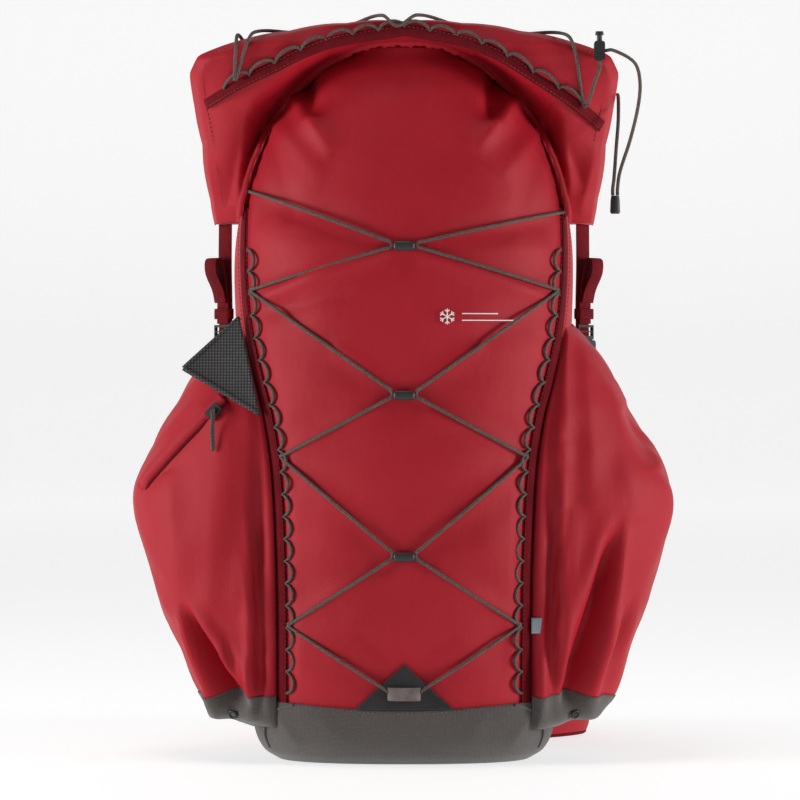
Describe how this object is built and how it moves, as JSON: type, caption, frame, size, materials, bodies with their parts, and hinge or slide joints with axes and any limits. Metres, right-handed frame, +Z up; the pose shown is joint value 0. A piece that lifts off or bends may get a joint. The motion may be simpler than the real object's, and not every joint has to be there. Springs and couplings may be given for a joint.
{
  "type": "roll-top ski backpack",
  "caption": "Roll-top touring backpack with two bulging side pockets, laced front panel, side-release straps, shoulder straps and hip belt, standing on its flat base.",
  "frame": {"origin": "middle of the flat base that the pack stands on", "axes": "+Z up along the pack's height; +Y towards the wearer's back; -Y is the outer laced face; +X is to the right when looking at the outer face"},
  "size_m": [0.4566, 0.3888, 0.6266],
  "materials": {
    "shell": "smooth coated weave, slight sheen",
    "trim": "woven tape",
    "base_fabric": "heathered matt weave",
    "padding": "matt mesh over foam",
    "mesh": "stiff black mesh",
    "cord": "braided elastic cord",
    "plastic": "fine textured",
    "alloy": "bare",
    "frame_plastic": "smooth",
    "label": "woven"
  },
  "bodies": {
    "bag": {"main_bag": "shell", "base_cup": "base_fabric", "left_tape": "trim", "right_tape": "trim", "left_loop_cord": "cord", "right_loop_cord": "cord", "front_lace": "cord", "upper_lace_sleeve": "plastic", "middle_lace_sleeve": "plastic", "lower_lace_sleeve": "plastic", "front_patch": "padding", "lace_loop": "cord", "side_tag": "label", "left_side_pocket": "shell", "right_side_pocket": "shell", "left_buckle_female": "plastic", "right_buckle_female": "plastic", "left_buckle_tab": "trim", "right_buckle_tab": "trim", "pocket_zip": "trim", "frame_sheet": "frame_plastic", "frame_stay": "alloy", "back_panel": "padding", "left_shoulder_pad": "shell", "right_shoulder_pad": "shell", "left_lower_webbing": "trim", "right_lower_webbing": "trim"},
    "roll_top": {"roll_top": "shell", "roll_top_tape": "trim", "roll_top_loop_cord": "cord", "top_lace": "cord", "cord_lock": "plastic", "hanging_cord_outer": "cord", "hanging_cord_inner": "cord", "cord_end": "plastic", "left_side_strap": "trim", "right_side_strap": "trim"},
    "lock_button": {"cord_lock_button": "plastic"},
    "left_tongue": {"left_buckle_tongue": "plastic", "left_strap_tail": "trim"},
    "right_tongue": {"right_buckle_tongue": "plastic", "right_strap_tail": "trim"},
    "zip_slider": {"zip_slider": "plastic"},
    "zip_pull": {"zip_pull": "cord"},
    "mesh_wing": {"mesh_wing": "mesh"},
    "haul_loop": {"haul_loop": "trim"},
    "left_belt": {"left_belt_wing": "shell", "left_belt_webbing": "trim"},
    "right_belt": {"right_belt_wing": "shell", "right_belt_webbing": "trim", "belt_female": "plastic"},
    "belt_tongue": {"belt_tongue": "plastic"},
    "sternum_left": {"left_sternum_webbing": "trim", "sternum_female": "plastic"},
    "sternum_right": {"right_sternum_webbing": "trim"},
    "sternum_tongue": {"sternum_tongue": "plastic"},
    "left_adjuster": {"left_strap_adjuster": "plastic"},
    "right_adjuster": {"right_strap_adjuster": "plastic"}
  },
  "joints": [
    {"name": "roll_top_lift", "type": "slide", "parent": "bag", "child": "roll_top", "axis": [0, 0, 1], "range_m": [0, 0.15]},
    {"name": "left_tongue_pull", "type": "slide", "parent": "roll_top", "child": "left_tongue", "axis": [0, 0, 1], "range_m": [0, 0.02]},
    {"name": "right_tongue_pull", "type": "slide", "parent": "roll_top", "child": "right_tongue", "axis": [0, 0, 1], "range_m": [0, 0.02]},
    {"name": "lock_button_press", "type": "slide", "parent": "roll_top", "child": "lock_button", "axis": [0, 0, -1], "range_m": [0, 0.003], "stiffness_N_per_m": 300, "springref_m": -0.002},
    {"name": "zip_travel", "type": "hinge", "parent": "bag", "child": "zip_slider", "pos_m": [-0.06945, 0.20684, 0.27239], "axis": [0.6398, -0.2559, -0.7247], "range_deg": [0, 17.5]},
    {"name": "zip_pull_swing", "type": "hinge", "parent": "zip_slider", "child": "zip_pull", "pos_m": [-0.15945, -0.08241, 0.29523], "axis": [-1, 0, 0], "range_deg": [0, 50]},
    {"name": "mesh_wing_fold", "type": "hinge", "parent": "bag", "child": "mesh_wing", "pos_m": [-0.11949, -0.08625, 0.29304], "axis": [-0.2074, 0.2391, 0.9486], "range_deg": [0, 80]},
    {"name": "haul_loop_fold", "type": "hinge", "parent": "bag", "child": "haul_loop", "pos_m": [0, 0.1003, 0.523], "axis": [-1, 0, 0], "range_deg": [0, 70]},
    {"name": "right_belt_wing_swing", "type": "hinge", "parent": "bag", "child": "right_belt", "pos_m": [0.048, 0.1106, 0.046], "axis": [0, 0, 1], "range_deg": [-10, 8]},
    {"name": "left_belt_wing_swing", "type": "hinge", "parent": "bag", "child": "left_belt", "pos_m": [-0.056, 0.1106, 0.046], "axis": [0, 0, 1], "range_deg": [-5, 22]},
    {"name": "belt_tongue_adjust", "type": "slide", "parent": "left_belt", "child": "belt_tongue", "axis": [1, 0, 0], "range_m": [-0.008, 0.008]},
    {"name": "sternum_left_height", "type": "slide", "parent": "bag", "child": "sternum_left", "axis": [0, 0, 1], "range_m": [-0.026, 0.014]},
    {"name": "sternum_right_height", "type": "slide", "parent": "bag", "child": "sternum_right", "axis": [0, 0, 1], "range_m": [-0.026, 0.014]},
    {"name": "sternum_tongue_pull", "type": "slide", "parent": "sternum_right", "child": "sternum_tongue", "axis": [1, 0, 0], "range_m": [0, 0.014]},
    {"name": "left_adjuster_tilt", "type": "hinge", "parent": "bag", "child": "left_adjuster", "pos_m": [-0.077, 0.1426, 0.26225], "axis": [1, 0, 0], "range_deg": [0, 30]},
    {"name": "right_adjuster_tilt", "type": "hinge", "parent": "bag", "child": "right_adjuster", "pos_m": [0.077, 0.1426, 0.26225], "axis": [1, 0, 0], "range_deg": [0, 30]}
  ],
  "couplings": [
    {"joint": "sternum_right_height", "follows": "sternum_left_height", "ratio": 1}
  ]
}
